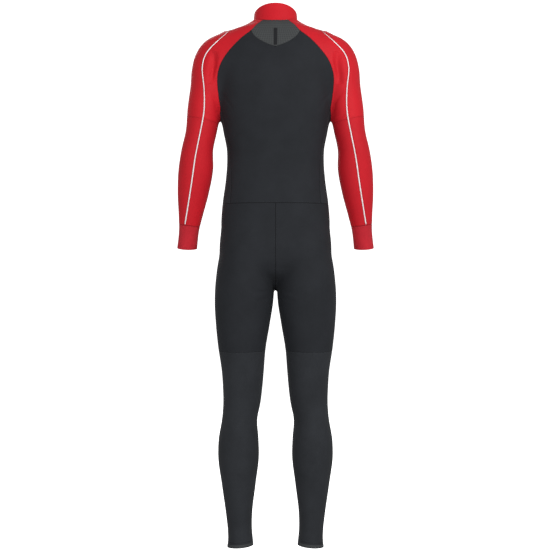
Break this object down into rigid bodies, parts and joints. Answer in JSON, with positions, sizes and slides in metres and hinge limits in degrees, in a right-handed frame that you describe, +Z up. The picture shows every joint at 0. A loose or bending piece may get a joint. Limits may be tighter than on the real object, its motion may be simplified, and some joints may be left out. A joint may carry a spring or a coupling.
{
  "type": "racing suit",
  "caption": "Close-fitting racing suit in its worn, hollow form, with a stand collar, raglan sleeves with piping, a mesh nape yoke, a front zip and long legs.",
  "frame": {"origin": "between the shoulders, level with the sides of the neck, where the wearer carries the suit", "axes": "+Z up along the body, +X to the wearer's left, -Y to the front"},
  "size_m": [0.5534, 0.2343, 1.4903],
  "materials": {
    "black_jersey": "smooth matt stretch jersey",
    "black_brushed": "brushed stretch jersey",
    "grey_mesh": "fine open mesh",
    "red_jersey": "smooth matt stretch jersey",
    "red_rib": "fine rib",
    "white_piping": "reflective piping",
    "zip_tape": "woven tape with coil teeth",
    "zip_metal": "dark lacquered metal"
  },
  "bodies": {
    "suit": {"back_panel": "black_jersey", "front_left": "black_jersey", "front_right": "black_jersey", "thigh_back_left": "black_jersey", "thigh_back_right": "black_jersey", "thigh_front_left": "black_jersey", "thigh_front_right": "black_jersey", "ankle_band_left": "black_jersey", "ankle_band_right": "black_jersey", "nape_tape": "black_jersey", "side_panel_left": "black_brushed", "side_panel_right": "black_brushed", "lower_leg_left": "black_brushed", "lower_leg_right": "black_brushed", "yoke_mesh": "grey_mesh", "sleeve_upper_back_left": "red_jersey", "sleeve_upper_back_right": "red_jersey", "sleeve_upper_front_left": "red_jersey", "sleeve_upper_front_right": "red_jersey", "sleeve_lower_back_left": "red_jersey", "sleeve_lower_back_right": "red_jersey", "sleeve_lower_front_left": "red_jersey", "sleeve_lower_front_right": "red_jersey", "thigh_stripe_left": "red_jersey", "thigh_stripe_right": "red_jersey", "collar": "red_jersey", "cuff_left": "red_rib", "cuff_right": "red_rib", "piping_left": "white_piping", "piping_right": "white_piping", "zip_left": "zip_tape", "zip_right": "zip_tape", "zip_slider": "zip_metal"},
    "zip_pull_tab": {"zip_pull": "zip_metal"}
  },
  "joints": [
    {"name": "zip_pull_swing", "type": "hinge", "parent": "suit", "child": "zip_pull_tab", "pos_m": [0, -0.05733, -0.02473], "axis": [-1, 0, 0], "range_deg": [-5, 135]}
  ]
}
